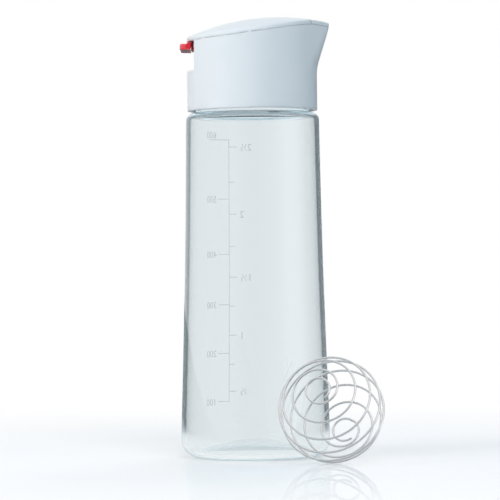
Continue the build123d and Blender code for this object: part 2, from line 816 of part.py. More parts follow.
def ball_place(step):
    """A place on the whisk wire's middle line: a loop at each pole and even turns from pole to pole."""
    total = ball_turns
    turn = step / ball_steps_per_turn
    swept = min(max(turn - pole_loop_turns, 0), total - 2 * pole_loop_turns)
    polar = radians(pole_angle + (180 - 2 * pole_angle) * swept / (total - 2 * pole_loop_turns))
    around = 2 * pi * turn + radians(ball_phase)
    front = Vector(*ball_axis).normalized()
    right = (Vector(1, 0, 0) - front * front.X).normalized()
    up = front.cross(right)
    ring = right * cos(around) + up * sin(around)
    radius = (ball_diameter - wire_diameter) / 2
    return ball_centre + (front * cos(polar) + ring * sin(polar)) * radius


def make_whisk_ball():
    """Loose whisk ball wound from one stainless wire, its lowest turn resting on the ground."""
    count = round(ball_turns * ball_steps_per_turn)
    ball = wire_along(ball_place, count, wire_diameter / 2)
    finish(ball.translate((0, 0, -ball.bounding_box().min.Z)), "whisk_ball")
    gap = least_gap(ball_place, count, ball_steps_per_turn, wire_diameter)
    print(f"whisk_ball: {ball_turns:.2f} turns, least gap between turns {gap:.2f} mm")


os.makedirs("parts", exist_ok=True)
make_bottle()
make_lid_housing()
make_lid_crown()
make_lid_core()
make_lid_seal_ring()
make_pour_duct()
make_vent_valve()
make_thumb_lever()
make_pins()
make_lever_spring()
make_push_fork()
make_spout_flap()
make_flap_pad()
make_whisk_ball()
print(f"lever swing {lever_swing:.3f} degrees, fork stroke {fork_stroke:.4f} mm")
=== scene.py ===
# %% [markdown]
# The object is a shaker bottle for salad dressing. It is a clear blown bottle with a white screw lid,
# a red thumb lever behind, a small flap over the spout in front, and a loose ball of steel wire. The
# CAD model comes in first as a fixed frame. Every piece made below is fitted to it, and its box is
# kept here.

import json
import math

import bmesh
import bpy
from mathutils import Matrix, Vector

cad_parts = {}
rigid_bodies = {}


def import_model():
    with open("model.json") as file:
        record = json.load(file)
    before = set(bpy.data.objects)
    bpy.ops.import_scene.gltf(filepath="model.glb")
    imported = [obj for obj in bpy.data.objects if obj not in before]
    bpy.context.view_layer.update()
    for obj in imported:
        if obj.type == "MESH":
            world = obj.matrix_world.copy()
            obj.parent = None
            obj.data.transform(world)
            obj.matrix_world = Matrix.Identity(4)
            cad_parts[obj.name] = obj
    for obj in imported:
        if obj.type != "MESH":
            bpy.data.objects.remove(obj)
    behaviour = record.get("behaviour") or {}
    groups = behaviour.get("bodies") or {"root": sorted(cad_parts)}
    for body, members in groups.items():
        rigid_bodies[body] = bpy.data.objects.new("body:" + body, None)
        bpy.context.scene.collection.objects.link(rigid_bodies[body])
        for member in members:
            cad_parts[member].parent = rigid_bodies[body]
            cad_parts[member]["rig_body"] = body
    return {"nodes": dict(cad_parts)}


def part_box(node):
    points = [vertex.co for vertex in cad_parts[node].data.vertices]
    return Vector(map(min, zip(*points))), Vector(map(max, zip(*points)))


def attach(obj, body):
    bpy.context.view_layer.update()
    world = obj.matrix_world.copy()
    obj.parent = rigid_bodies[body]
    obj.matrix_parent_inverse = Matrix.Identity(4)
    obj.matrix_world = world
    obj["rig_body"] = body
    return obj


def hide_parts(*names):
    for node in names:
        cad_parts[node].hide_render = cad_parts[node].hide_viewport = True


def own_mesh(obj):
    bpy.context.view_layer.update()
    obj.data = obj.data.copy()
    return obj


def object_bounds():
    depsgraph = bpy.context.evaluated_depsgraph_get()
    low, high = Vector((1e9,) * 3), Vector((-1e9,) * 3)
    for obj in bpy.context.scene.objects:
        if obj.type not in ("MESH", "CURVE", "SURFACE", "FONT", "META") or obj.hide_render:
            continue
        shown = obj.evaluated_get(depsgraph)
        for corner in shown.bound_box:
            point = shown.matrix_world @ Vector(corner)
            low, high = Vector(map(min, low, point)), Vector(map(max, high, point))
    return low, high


for leftover in list(bpy.data.objects):
    bpy.data.objects.remove(leftover)
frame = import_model()
cad_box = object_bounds()
MM = 0.001
print("frame nodes:", sorted(frame["nodes"]))

# %% [markdown]
# A few helpers come before the pieces. A finished piece keeps its place in its mesh, so each helper
# works in the frame's own coordinates. Smooth shading with sharp edges by angle gives turned and
# moulded forms soft walls and clean corners.

# %% Helpers for meshes
SHARP_ANGLE = math.radians(32)


def link_piece(name, mesh):
    """Puts a mesh into the scene as a piece, at the origin."""
    piece = bpy.data.objects.new(name, mesh)
    bpy.context.scene.collection.objects.link(piece)
    return piece


def shade(mesh, angle=SHARP_ANGLE):
    """Shades a mesh smoothly, with its edges left sharp above an angle."""
    mesh.polygons.foreach_set("use_smooth", [True] * len(mesh.polygons))
    mesh.set_sharp_from_angle(angle=angle)
    mesh.update()


def piece_from(bm, name, angle=SHARP_ANGLE):
    """Turns a finished bmesh into a shaded piece and prints its size in faces."""
    mesh = bpy.data.meshes.new(name)
    bm.to_mesh(mesh)
    bm.free()
    shade(mesh, angle)
    print(f"{name}: {len(mesh.polygons)} faces")
    return link_piece(name, mesh)


def weld(bm, distance=1e-6):
    """Joins points that lie on each other and drops the faces this leaves without area."""
    bmesh.ops.remove_doubles(bm, verts=bm.verts, dist=distance)
    bmesh.ops.dissolve_degenerate(bm, dist=distance / 2, edges=bm.edges)


def arc_through(start, middle, end, count):
    """Points on the circle through three points of a profile, without the first of them."""
    (ax, ay), (bx, by), (cx, cy) = start, middle, end
    turn = 2 * (ax * (by - cy) + bx * (cy - ay) + cx * (ay - by))
    a2, b2, c2 = ax * ax + ay * ay, bx * bx + by * by, cx * cx + cy * cy
    ox = (a2 * (by - cy) + b2 * (cy - ay) + c2 * (ay - by)) / turn
    oy = (a2 * (cx - bx) + b2 * (ax - cx) + c2 * (bx - ax)) / turn
    radius = math.hypot(ax - ox, ay - oy)
    first = math.atan2(ay - oy, ax - ox)
    swing = math.remainder(math.atan2(cy - oy, cx - ox) - first, math.tau)
    angles = [first + swing * step / count for step in range(1, count + 1)]
    return [(ox + radius * math.cos(a), oy + radius * math.sin(a)) for a in angles]


# %% [markdown]
# Materials come next. Each one is a small node tree around the Principled shader. A colour that is the
# same everywhere is set on the shader's own socket. Fine grain goes into roughness and bump, because
# moulded plastic and drawn wire show their surface mainly in how sharply they reflect.

# %% Helpers for materials


def shader_of(name):
    """A new material and its Principled shader, with everything else removed."""
    material = bpy.data.materials.new(name)
    material.use_nodes = True
    nodes = material.node_tree.nodes
    nodes.clear()
    output = nodes.new("ShaderNodeOutputMaterial")
    shader = nodes.new("ShaderNodeBsdfPrincipled")
    material.node_tree.links.new(shader.outputs["BSDF"], output.inputs["Surface"])
    return material, shader, output


def grain(material, scale, detail=2.0, stretch=(1, 1, 1)):
    """A noise pattern on Object coordinates, in cells of about 1 / scale metres."""
    tree = material.node_tree
    place = tree.nodes.new("ShaderNodeTexCoord")
    turn = tree.nodes.new("ShaderNodeMapping")
    turn.inputs["Scale"].default_value = stretch
    noise = tree.nodes.new("ShaderNodeTexNoise")
    noise.inputs["Scale"].default_value = scale
    noise.inputs["Detail"].default_value = detail
    tree.links.new(place.outputs["Object"], turn.inputs["Vector"])
    tree.links.new(turn.outputs["Vector"], noise.inputs["Vector"])
    return noise.outputs["Fac"]


def spread(material, source, low, high):
    """Maps a pattern's 0 to 1 onto a range of values."""
    tree = material.node_tree
    ramp = tree.nodes.new("ShaderNodeMapRange")
    ramp.inputs["To Min"].default_value = low
    ramp.inputs["To Max"].default_value = high
    tree.links.new(source, ramp.inputs["Value"])
    return ramp.outputs["Result"]


def tint(material, source, dark, light):
    """Maps a pattern's 0 to 1 onto two nearby colours."""
    tree = material.node_tree
    mix = tree.nodes.new("ShaderNodeMix")
    mix.data_type = "RGBA"
    mix.inputs["A"].default_value = (*dark, 1)
    mix.inputs["B"].default_value = (*light, 1)
    tree.links.new(source, mix.inputs["Factor"])
    return mix.outputs["Result"]


def roughen(material, shader, source, height, strength):
    """Bumps the surface by a pattern whose full height is in metres."""
    tree = material.node_tree
    bump = tree.nodes.new("ShaderNodeBump")
    bump.inputs["Distance"].default_value = height
    bump.inputs["Strength"].default_value = strength
    tree.links.new(source, bump.inputs["Height"])
    tree.links.new(bump.outputs["Normal"], shader.inputs["Normal"])


def moulded(name, dark, light, rough, grain_scale, grain_height):
    """Opaque moulded plastic: nearly even colour, fine grain and slightly uneven gloss."""
    material, shader, _ = shader_of(name)
    broad = grain(material, 60, 1.0)
    fine = grain(material, grain_scale, 3.0)
    material.node_tree.links.new(tint(material, broad, dark, light), shader.inputs["Base Color"])
    material.node_tree.links.new(spread(material, fine, *rough), shader.inputs["Roughness"])
    roughen(material, shader, fine, grain_height, 0.5)
    return material, shader


# %% [markdown]
# The lid is glossy white plastic with a cool cast, and the lever is the same plastic in red. The parts
# inside the lid are a duller grey, and the ring, the valve and the pad are soft and matte.

# %% Plastics and rubber
GLOSSY_GRAIN, DULL_GRAIN, SOFT_GRAIN = 2500, 1800, 900

white_plastic, shader = moulded(
    "white_plastic", (0.80, 0.845, 0.87), (0.84, 0.88, 0.9), (0.30, 0.38), GLOSSY_GRAIN, 4e-6
)
shader.inputs["Specular IOR Level"].default_value = 0.35
red_plastic, shader = moulded(
    "red_plastic", (0.76, 0.015, 0.035), (0.84, 0.025, 0.05), (0.18, 0.26), GLOSSY_GRAIN, 3e-6
)
shader.inputs["Specular IOR Level"].default_value = 0.7
shader.inputs["Coat Weight"].default_value = 1.0
shader.inputs["Coat Roughness"].default_value = 0.08
grey_plastic, _ = moulded(
    "grey_plastic", (0.42, 0.44, 0.47), (0.50, 0.52, 0.55), (0.45, 0.58), DULL_GRAIN, 8e-6
)
soft_white, shader = moulded(
    "soft_white", (0.70, 0.71, 0.72), (0.77, 0.78, 0.79), (0.6, 0.75), SOFT_GRAIN, 1e-5
)
shader.inputs["Subsurface Weight"].default_value = 0.2
shader.inputs["Subsurface Scale"].default_value = 0.002
print("plastics:", [m.name for m in (white_plastic, red_plastic, grey_plastic, soft_white)])

# %% [markdown]
# The bottle is clear plastic a little over two millimetres thick. Real walls with real thickness bend
# the light by themselves. A faint absorption darkens the long way through the wall at both edges,
# which is what draws a clear bottle's outline on a white page.

# %% Clear plastic
WAVE_SCALE, WAVE_STRETCH, WAVE_HEIGHT = 45, (1, 1, 0.35), 2e-4

clear_plastic, shader, output = shader_of("clear_plastic")
shader.inputs["Base Color"].default_value = (0.89, 0.922, 0.933, 1)
shader.inputs["Transmission Weight"].default_value = 1.0
shader.inputs["IOR"].default_value = 1.5
waves = grain(clear_plastic, WAVE_SCALE, 1.0, WAVE_STRETCH)
tree = clear_plastic.node_tree
tree.links.new(spread(clear_plastic, waves, 0.005, 0.02), shader.inputs["Roughness"])
roughen(clear_plastic, shader, waves, WAVE_HEIGHT, 0.12)
absorb = tree.nodes.new("ShaderNodeVolumeAbsorption")
absorb.inputs["Color"].default_value = (0.62, 0.72, 0.76, 1)
absorb.inputs["Density"].default_value = 12
tree.links.new(absorb.outputs["Volume"], output.inputs["Volume"])

# %% [markdown]
# At the shoulder and the base some light is caught in the wall and bounces on along it. Real plastic
# lets it leak out evenly on the way. A renderer gives up after a few bounces and shows black, so from
# the second bounce on the wall scatters the light instead.

# %% Light caught in the wall
FREE_BOUNCES = 1.5
path = tree.nodes.new("ShaderNodeLightPath")
caught = tree.nodes.new("ShaderNodeMath")
caught.operation = "GREATER_THAN"
caught.inputs[1].default_value = FREE_BOUNCES
tree.links.new(path.outputs["Glossy Depth"], caught.inputs[0])
leak = tree.nodes.new("ShaderNodeBsdfTranslucent")
leak.inputs["Color"].default_value = (0.88, 0.93, 0.95, 1)
wall = tree.nodes.new("ShaderNodeMixShader")
for source, socket in zip((caught.outputs[0], shader.outputs[0], leak.outputs[0]), wall.inputs):
    tree.links.new(source, socket)
tree.links.new(wall.outputs["Shader"], output.inputs["Surface"])
print("clear plastic: nodes", len(tree.nodes))

# %% [markdown]
# The pins and the spring are drawn steel, so their grain runs in fine streaks. The whisk ball's wire
# is polished and mirrors the room, with only a breath of unevenness. The print is thin grey ink, so the
# clear wall shows through it.

# %% Steel and print


def metal(name, dark, light, rough, scale, stretch, height):
    """Bare metal with a directional grain in its colour, gloss and bump."""
    material, shader, _ = shader_of(name)
    shader.inputs["Metallic"].default_value = 1.0
    streaks = grain(material, scale, 3.0, stretch)
    material.node_tree.links.new(tint(material, streaks, dark, light), shader.inputs["Base Color"])
    material.node_tree.links.new(spread(material, streaks, *rough), shader.inputs["Roughness"])
    roughen(material, shader, streaks, height, 0.4)
    return material


steel = metal(
    "steel", (0.55, 0.56, 0.58), (0.68, 0.69, 0.71), (0.22, 0.38), 1500, (1, 0.1, 1), 4e-6
)
polished_steel = metal(
    "polished_steel", (0.64, 0.65, 0.66), (0.74, 0.75, 0.76), (0.01, 0.04), 900, (1, 1, 1), 3e-6
)
print_grey, shader, _ = shader_of("print_grey")
speckle = grain(print_grey, 3000, 2.0)
print_grey.node_tree.links.new(
    tint(print_grey, speckle, (0.42, 0.47, 0.51), (0.52, 0.57, 0.61)), shader.inputs["Base Color"]
)
shader.inputs["Roughness"].default_value = 0.6
shader.inputs["Alpha"].default_value = 0.22
print("metals and print:", [m.name for m in (steel, polished_steel, print_grey)])

# %% [markdown]
# The bottle is a body of revolution, so its half profile is drawn once and spun about the axis. The
# outer and inner walls are slightly barrel-shaped arcs. Each corner is a ring of edges after the spin,
# and a bevel turns that ring into a round corner. Rows of points that a bevel would run over are left
# out first, but never the corner itself.

# %% Bottle profile
SHOULDER_Z = 178.5
NECK_TOP_Z = 191.6
INNER_TOP_Z = 176.2
BASE_R, MIDDLE_R, SHOULDER_R = 39.1, 36.2, 34.6
NECK_R, MOUTH_R = 29.4, 27.2
WALL = 2.3
FOOT_IN_R, FOOT_OUT_R = 26.0, 27.8
PUSH_UP_Z, FLOOR_APEX_Z = 5.8, 9.0
SPIN_STEPS = 224
SAME_PLACE, BEVEL_ROOM = 1e-6, 1.15


def arc_from_flat(start, end, count):
    """An arc that leaves the axis level at start and ends at end, without the first point."""
    dx, dz = end[0] - start[0], end[1] - start[1]
    radius = (dx * dx + dz * dz) / (2 * dz)
    half = math.asin(dx / abs(radius)) / 2
    side = math.copysign(1, dz)
    middle = (abs(radius) * math.sin(half), start[1] + side * abs(radius) * (1 - math.cos(half)))
    return arc_through(start, middle, end, count)


outer_wall = arc_through((BASE_R, 0), (MIDDLE_R, SHOULDER_Z / 2), (SHOULDER_R, SHOULDER_Z), 30)
inner_wall = arc_through(
    (SHOULDER_R - WALL, INNER_TOP_Z), (MIDDLE_R - WALL, SHOULDER_Z / 2), (BASE_R - WALL, WALL), 30
)
floor_arc = arc_from_flat((0, FLOOR_APEX_Z), (FOOT_OUT_R, WALL), 14)
bottle_profile = [
    (0, PUSH_UP_Z),
    *arc_from_flat((0, PUSH_UP_Z), (FOOT_IN_R, 0), 14),
    (BASE_R, 0),
    *outer_wall,
    (NECK_R, SHOULDER_Z),
    (NECK_R, NECK_TOP_Z),
    (MOUTH_R, NECK_TOP_Z),
    (MOUTH_R, INNER_TOP_Z),
    (SHOULDER_R - WALL, INNER_TOP_Z),
    *inner_wall,
    *reversed(floor_arc),
    (0, FLOOR_APEX_Z),
]
bottle_corners = [
    ((BASE_R, 0), 9.5, 14),
    ((BASE_R - WALL, WALL), 7.2, 12),
    ((SHOULDER_R, SHOULDER_Z), 4.0, 10),
    ((SHOULDER_R - WALL, INNER_TOP_Z), 1.7, 6),
    ((NECK_R, SHOULDER_Z), 0.8, 4),
    ((NECK_R, NECK_TOP_Z), 0.8, 5),
    ((MOUTH_R, NECK_TOP_Z), 0.8, 5),
]
print("bottle profile points:", len(bottle_profile))

# %% Spin the bottle


def ring_edges(bm, radius, height, tolerance=2e-5):
    """The edges that run round the axis at a radius and a height in millimetres."""
    found = []
    for edge in bm.edges:
        ends = [(math.hypot(v.co.x, v.co.y) - radius * MM, v.co.z - height * MM) for v in edge.verts]
        if all(abs(dr) < tolerance and abs(dz) < tolerance for dr, dz in ends):
            found.append(edge)
    return found


def lathe(profile, corners, steps=SPIN_STEPS):
    """Spins a profile of (radius, height) points in millimetres and rounds the corners named."""
    bm = bmesh.new()
    points = [bm.verts.new((r * MM, 0, z * MM)) for r, z in profile]
    edges = [bm.edges.new(pair) for pair in zip(points, points[1:])]
    bmesh.ops.spin(
        bm, geom=points + edges, cent=(0, 0, 0), axis=(0, 0, 1), angle=math.tau, steps=steps,
        use_merge=True,
    )
    weld(bm)
    for (radius, height), width, segments in corners:
        ring = ring_edges(bm, radius, height)
        print(f"corner at radius {radius:.1f} and height {height:.1f}: {len(ring)} edges")
        bmesh.ops.bevel(
            bm, geom=ring, offset=width * MM, affect="EDGES",
            segments=segments, profile=0.5, material=-1, clamp_overlap=False,
        )
    weld(bm)
    bmesh.ops.recalc_face_normals(bm, faces=bm.faces)
    return bm


def strip_rows_under(profile, corners):
    """Leaves out profile points that a corner's bevel would run over."""
    kept = []
    for point in profile:
        fixed = any(math.dist(point, at) < SAME_PLACE for at, _, _ in corners)
        near = any(math.dist(point, at) < width * BEVEL_ROOM for at, width, _ in corners)
        if fixed or not near or point[0] == 0:
            kept.append(point)
    return kept


bottle_rows = strip_rows_under(bottle_profile, bottle_corners)
bottle_shell = piece_from(lathe(bottle_rows, bottle_corners), "bottle_shell")
bottle_shell.data.materials.append(clear_plastic)
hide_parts("bottle")
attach(bottle_shell, "bottle")

# %% [markdown]
# The neck carries a screw thread. A thread is a small cross-section that turns about the axis and
# climbs as it turns, so the same spin is used again with a rise at every step.

# %% Neck thread
THREAD_LEAD = 5.0
THREAD_START_Z = 181.9
THREAD_TURNS = 1.4
thread_section = [(-0.3, -0.9), (1.2, -0.4), (1.2, 0.4), (-0.3, 0.9)]
thread_steps = 140

bm = bmesh.new()
ridge_face = bm.faces.new(
    bm.verts.new(((NECK_R + out) * MM, 0, (THREAD_START_Z + up) * MM)) for out, up in thread_section
)
bmesh.ops.spin(
    bm, geom=[ridge_face, *ridge_face.edges, *ridge_face.verts], cent=(0, 0, 0), axis=(0, 0, 1),
    dvec=(0, 0, THREAD_LEAD * THREAD_TURNS / thread_steps * MM), angle=math.tau * THREAD_TURNS,
    steps=thread_steps,
)
bmesh.ops.recalc_face_normals(bm, faces=bm.faces)
neck_thread = piece_from(bm, "neck_thread")
neck_thread.data.materials.append(clear_plastic)
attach(neck_thread, "bottle")

# %% [markdown]
# The lid's outside is one smooth form: a tear drop in plan, flared towards the beak, under a dome.
# A ring of points is pulled up the side and over the top in rows. Where the side meets the dome, a
# bevel rounds the crease, as the mould of the real lid does.

# %% The lid's outer form
LID_R = 33.8
BEAK_R, BEAK_X = 5.5, 35.2
LID_TOP_Z = 227.8
CREASE_GUESS_Z, CREASE_TRIES = LID_TOP_Z - 5, 12
FLARE_Z, FLARE_RISE, BEAK_LEAN = 198.0, 7.0, math.radians(17.5)
CROWN_PEAK_X, CROWN_ARC_R, CROWN_CROSS_R = 13.5, 115.0, 90.0
CREASE_SOFTNESS = 1.6
FORM_INSET = 0.07
CREASE_ROUND, CREASE_STEPS = 0.9, 5


def plan_radius(angle):
    """How far the tear drop's outline is from the axis in a direction."""
    small_reach = (LID_R - BEAK_R) / BEAK_X
    touch = math.acos(small_reach)
    tip_x, tip_y = BEAK_X + BEAK_R * math.cos(touch), BEAK_R * math.sin(touch)
    angle = abs(math.remainder(angle, math.tau))
    if angle > touch:
        return LID_R
    if angle > math.atan2(tip_y, tip_x):
        return LID_R / math.cos(angle - touch)
    return BEAK_X * math.cos(angle) + math.sqrt(BEAK_R**2 - (BEAK_X * math.sin(angle)) ** 2)


def flare_radius(z):
    """How far the flared side may reach at a height."""
    bend = FLARE_RISE / math.sin(BEAK_LEAN)
    if z <= FLARE_Z:
        return LID_R
    if z <= FLARE_Z + FLARE_RISE:
        return LID_R + bend - math.sqrt(bend**2 - (z - FLARE_Z) ** 2)
    straight = z - FLARE_Z - FLARE_RISE
    return LID_R + FLARE_RISE * math.tan(BEAK_LEAN / 2) + straight * math.tan(BEAK_LEAN)


def side_radius(angle, z):
    """The lid's side at an angle and a height, with the edge between its two surfaces softened."""
    plan, flare = plan_radius(angle), flare_radius(z)
    soft = min(CREASE_SOFTNESS, plan - LID_R, flare - LID_R)
    overlap = max(soft - abs(plan - flare), 0)
    return min(plan, flare) - (overlap**2 / (4 * soft) if soft > 1e-6 else 0) - FORM_INSET

# %% Where the side meets the dome


def dome_z(x, y):
    """The height of the dome over a place."""
    axis_z = LID_TOP_Z - CROWN_CROSS_R
    along = CROWN_ARC_R - FORM_INSET
    spine = LID_TOP_Z - CROWN_ARC_R + math.sqrt(along**2 - (x - CROWN_PEAK_X) ** 2)
    return axis_z + math.sqrt((spine - axis_z) ** 2 - y * y)


def crease_at(angle):
    """Where the side meets the dome in a direction."""
    z = CREASE_GUESS_Z
    for _ in range(CREASE_TRIES):
        r = side_radius(angle, z)
        z = dome_z(r * math.cos(angle), r * math.sin(angle))
    return r, z


def angle_at(u):
    """Spreads the columns round the lid, closer together at the beak."""
    front, front_share = math.radians(42), 0.45
    v = abs(2 * u - 1)
    if v < front_share:
        turn = front * v / front_share
    else:
        turn = front + (math.pi - front) * (v - front_share) / (1 - front_share)
    return math.copysign(turn, 2 * u - 1)

# %% A skin over the lid


def wrapped_grid(columns, rows, place):
    """A grid of faces whose points move to place(u, v), in millimetres, with u and v from 0 to 1."""
    bm = bmesh.new()
    bmesh.ops.create_grid(bm, x_segments=columns, y_segments=rows, size=0.5)
    for vert in bm.verts:
        vert.co = Vector(place(vert.co.x + 0.5, vert.co.y + 0.5)) * MM
    return bm


FORM_COLUMNS, SIDE_ROWS, DOME_ROWS = 400, 30, 16
side_share = SIDE_ROWS / (SIDE_ROWS + DOME_ROWS)
FORM_LOW_Z = 178.0
crease_known = {}


def crease_near(angle):
    """The crease in a direction, worked out once for each column."""
    key = round(angle, 6)
    if key not in crease_known:
        crease_known[key] = crease_at(angle)
    return crease_known[key]


def form_point(u, v):
    """A place on the lid's outer form: up its side first, then over the dome to its middle."""
    angle = angle_at(u)
    reach, top = crease_near(angle)
    if v <= side_share + 1e-6:
        z = FORM_LOW_Z + (top - FORM_LOW_Z) * min(v / side_share, 1)
        r = side_radius(angle, z)
        return r * math.cos(angle), r * math.sin(angle), z
    inward = (v - side_share) / (1 - side_share)
    x = reach * math.cos(angle) * (1 - inward)
    y = reach * math.sin(angle) * (1 - inward)
    return x, y, dome_z(x, y)


def on_crease(vert):
    """Whether a point of the form lies where the side meets the dome."""
    reach, top = crease_near(math.atan2(vert.co.y, vert.co.x))
    return math.hypot(math.hypot(vert.co.x, vert.co.y) - reach * MM, vert.co.z - top * MM) < 1e-5


# %% Close and round the skin
bm = wrapped_grid(FORM_COLUMNS, SIDE_ROWS + DOME_ROWS, form_point)
weld(bm)
rim = [edge for edge in bm.edges if edge.is_boundary]
bmesh.ops.contextual_create(bm, geom=rim)
crease = [edge for edge in bm.edges if all(on_crease(v) for v in edge.verts)]
bmesh.ops.bevel(
    bm, geom=crease, offset=CREASE_ROUND * MM, affect="EDGES", segments=CREASE_STEPS, profile=0.5,
    material=-1, clamp_overlap=False,
)
bmesh.ops.recalc_face_normals(bm, faces=bm.faces)
print("lid form: crease edges", len(crease), "open edges", sum(e.is_boundary for e in bm.edges))
lid_form = piece_from(bm, "lid_form")

# %% [markdown]
# The housing, the crown and the flap share that outside. Each is a copy of its CAD solid, welded and
# cut by the smooth form, so it keeps its walls, slots and ears inside and gains the rounded skin. The
# crown lies on the housing's rim. The rim is raised a little towards it, which leaves a fine seam.

# %% Cut the lid's pieces by the form


def finished_mesh(piece, name):
    """The mesh of a piece with its modifiers carried out."""
    bpy.context.view_layer.update()
    depsgraph = bpy.context.evaluated_depsgraph_get()
    mesh = bpy.data.meshes.new_from_object(piece.evaluated_get(depsgraph))
    mesh.name = name
    return mesh


def welded_copy(node):
    """A copy of a CAD node's mesh with its loose triangles joined."""
    bm = bmesh.new()
    bm.from_mesh(frame["nodes"][node].data)
    weld(bm, 2e-6)
    mesh = bpy.data.meshes.new(node + "_copy")
    bm.to_mesh(mesh)
    bm.free()
    mesh.materials.clear()
    return mesh


CROWN_WALL, SEAM, SEAM_CLOSING, CROWN_END_X = 2.2, 0.15, 0.1, 24.0


def close_seam(mesh):
    """Raises the housing's rim towards the crown that lies on it, and leaves a fine line between."""
    for vert in mesh.vertices:
        x, y, z = vert.co / MM
        axis_z = LID_TOP_Z - CROWN_CROSS_R
        along = CROWN_ARC_R - CROWN_WALL - SEAM
        rim = LID_TOP_Z - CROWN_ARC_R + math.sqrt(along**2 - (x - CROWN_PEAK_X) ** 2) - axis_z
        reach = math.hypot(y, z - axis_z)
        if x < CROWN_END_X and abs(reach - rim) < SEAM / 4:
            grown = (reach + SEAM_CLOSING) / reach
            vert.co = Vector((x, y * grown, axis_z + (z - axis_z) * grown)) * MM


def cut_by_form(node, name, material):
    """Makes a lid piece: the CAD solid's inside with the form's outside."""
    rough = link_piece(name + "_rough", welded_copy(node))
    cut = rough.modifiers.new("outside", "BOOLEAN")
    cut.operation = "INTERSECT"
    cut.solver = "EXACT"
    cut.object = lid_form
    mesh = finished_mesh(rough, name)
    bpy.data.objects.remove(rough)
    mesh.materials.clear()
    mesh.materials.append(material)
    if node == "lid_housing":
        close_seam(mesh)
    shade(mesh)
    piece = link_piece(name, mesh)
    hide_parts(node)
    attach(piece, frame["nodes"][node]["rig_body"])
    print(f"{name}: {len(mesh.polygons)} faces")


# %% The housing, the crown and the flap
cut_by_form("lid_housing", "housing_shell", white_plastic)
cut_by_form("lid_crown", "crown_shell", white_plastic)
cut_by_form("spout_flap", "flap_shell", white_plastic)
bpy.data.objects.remove(lid_form)

# %% [markdown]
# The whisk ball is one steel wire. It makes a small loop at one pole, winds round the ball in even
# turns to the other pole and ends in a second loop. The wire's middle line is a curve with a round
# section, which is then made a mesh. The lever's spring is made the same way.

# %% Wound wire
WIRE_ROUNDNESS, WIRE_SHARP_ANGLE = 3, math.radians(50)


def wire_piece(name, points, thickness, body, node, material):
    """A round wire along a line of points in metres, closed at both ends."""
    curve = bpy.data.curves.new(name + "_line", "CURVE")
    curve.dimensions = "3D"
    spline = curve.splines.new("POLY")
    spline.points.add(len(points) - 1)
    for target, point in zip(spline.points, points):
        target.co = (*point, 1)
    curve.bevel_depth = thickness / 2
    curve.bevel_resolution = WIRE_ROUNDNESS
    curve.use_fill_caps = True
    line = bpy.data.objects.new(name + "_line", curve)
    bpy.context.scene.collection.objects.link(line)
    mesh = finished_mesh(line, name)
    bpy.data.objects.remove(line)
    bm = bmesh.new()
    bm.from_mesh(mesh)
    weld(bm)
    bpy.data.meshes.remove(mesh)
    piece = piece_from(bm, name, WIRE_SHARP_ANGLE)
    piece.data.materials.append(material)
    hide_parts(node)
    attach(piece, body)
    return piece


# %% The whisk ball
BALL_D, WIRE_D = 53.5, 1.15
POLE_ANGLE, TURN_ANGLE, LOOP_TURNS = 13.5, 20.3, 0.75
BALL_PHASE = math.radians(-55)
BALL_AXIS = Vector((-0.286, -0.849, 0.446)).normalized()
WIRE_STEPS = 64

low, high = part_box("whisk_ball")
ball_right = (Vector((1, 0, 0)) - BALL_AXIS * BALL_AXIS.x).normalized()
ball_up = BALL_AXIS.cross(ball_right)
even_turns = (180 - 2 * POLE_ANGLE) / TURN_ANGLE
whole_turns = round(4 * (even_turns + 2 * LOOP_TURNS)) / 4


def ball_offset(turn):
    """The wire's middle line from the ball's middle, after so many turns."""
    swept = min(max(turn - LOOP_TURNS, 0), even_turns)
    polar = math.radians(POLE_ANGLE + (180 - 2 * POLE_ANGLE) * swept / even_turns)
    around = math.tau * turn + BALL_PHASE
    ring = ball_right * math.cos(around) + ball_up * math.sin(around)
    return (BALL_AXIS * math.cos(polar) + ring * math.sin(polar)) * (BALL_D - WIRE_D) / 2 * MM


def halfway(values):
    """The middle between the lowest and the highest of some values."""
    return (max(values) + min(values)) / 2


offsets = [ball_offset(step / WIRE_STEPS) for step in range(int(whole_turns * WIRE_STEPS) + 1)]
ball_middle = Vector(
    [(low[i] + high[i]) / 2 - halfway([offset[i] for offset in offsets]) for i in range(3)]
)
wire_piece(
    "whisk_wire", [ball_middle + o for o in offsets], WIRE_D * MM, "ball", "whisk_ball",
    polished_steel,
)
print("ball middle in mm:", [round(c / MM, 2) for c in ball_middle])

# %% The lever's spring
SPRING_X, SPRING_R, SPRING_WIRE = -23.6, 2.6, 0.6
SPRING_TURNS, SPRING_STEPS = 7, 32
low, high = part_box("lever_spring")
spring_low, spring_high = low.z + SPRING_WIRE * MM / 2, high.z - SPRING_WIRE * MM / 2
spring_points = []
for step in range(SPRING_TURNS * SPRING_STEPS + 1):
    turn = step / SPRING_STEPS
    spring_points.append(
        (
            (SPRING_X + SPRING_R * math.cos(math.tau * turn)) * MM,
            SPRING_R * math.sin(math.tau * turn) * MM,
            spring_low + (spring_high - spring_low) * turn / SPRING_TURNS,
        )
    )
lever_coil = wire_piece(
    "lever_coil", spring_points, SPRING_WIRE * MM, "lid", "lever_spring", steel
)
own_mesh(lever_coil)

# %% [markdown]
# The volume scale is printed on the far side of the bottle, so the photograph shows it mirrored through
# the clear walls. Each mark is a thin strip that follows the wall. The numbers are text made a mesh
# and wrapped round the same wall, millilitres on one side of the line and cups on the other.

